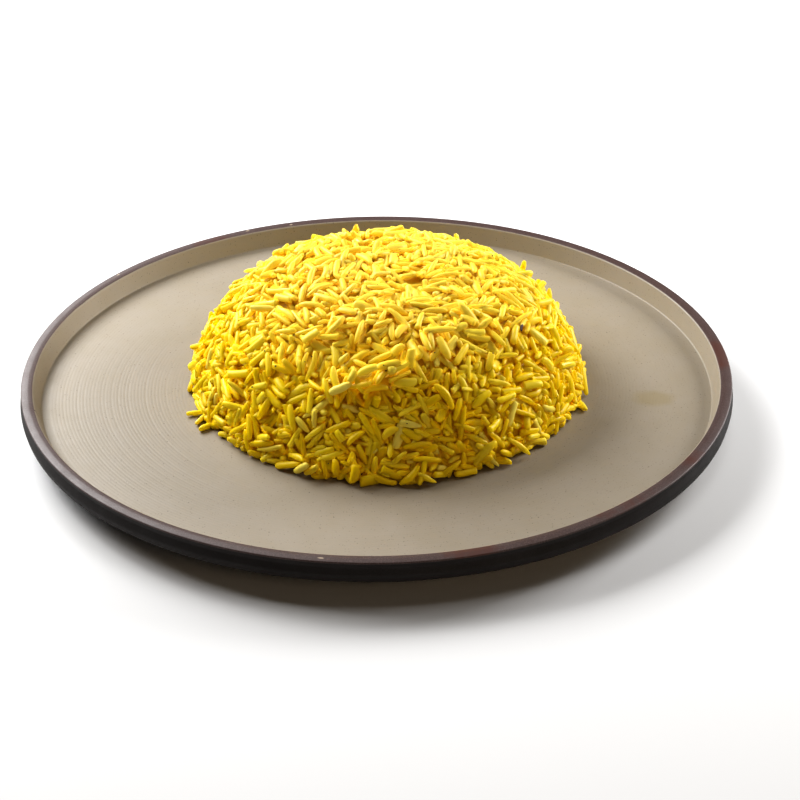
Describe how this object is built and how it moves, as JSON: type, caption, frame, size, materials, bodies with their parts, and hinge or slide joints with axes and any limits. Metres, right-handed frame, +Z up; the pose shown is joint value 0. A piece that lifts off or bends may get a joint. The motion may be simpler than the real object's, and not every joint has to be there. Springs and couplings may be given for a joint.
{
  "type": "plate of rice",
  "caption": "Moulded heap of yellow long-grain rice on a round flat stoneware plate with a short upright rim.",
  "frame": {"origin": "middle of the foot ring, on the surface that the plate stands on", "axes": "+Z up out of the plate, +X to the right and +Y away from the diner"},
  "size_m": [0.271, 0.271, 0.0576],
  "materials": {
    "plate_glaze": "satin",
    "cooked_rice": "satin"
  },
  "bodies": {
    "root": {"plate": "plate_glaze", "rice": "cooked_rice"}
  },
  "joints": []
}
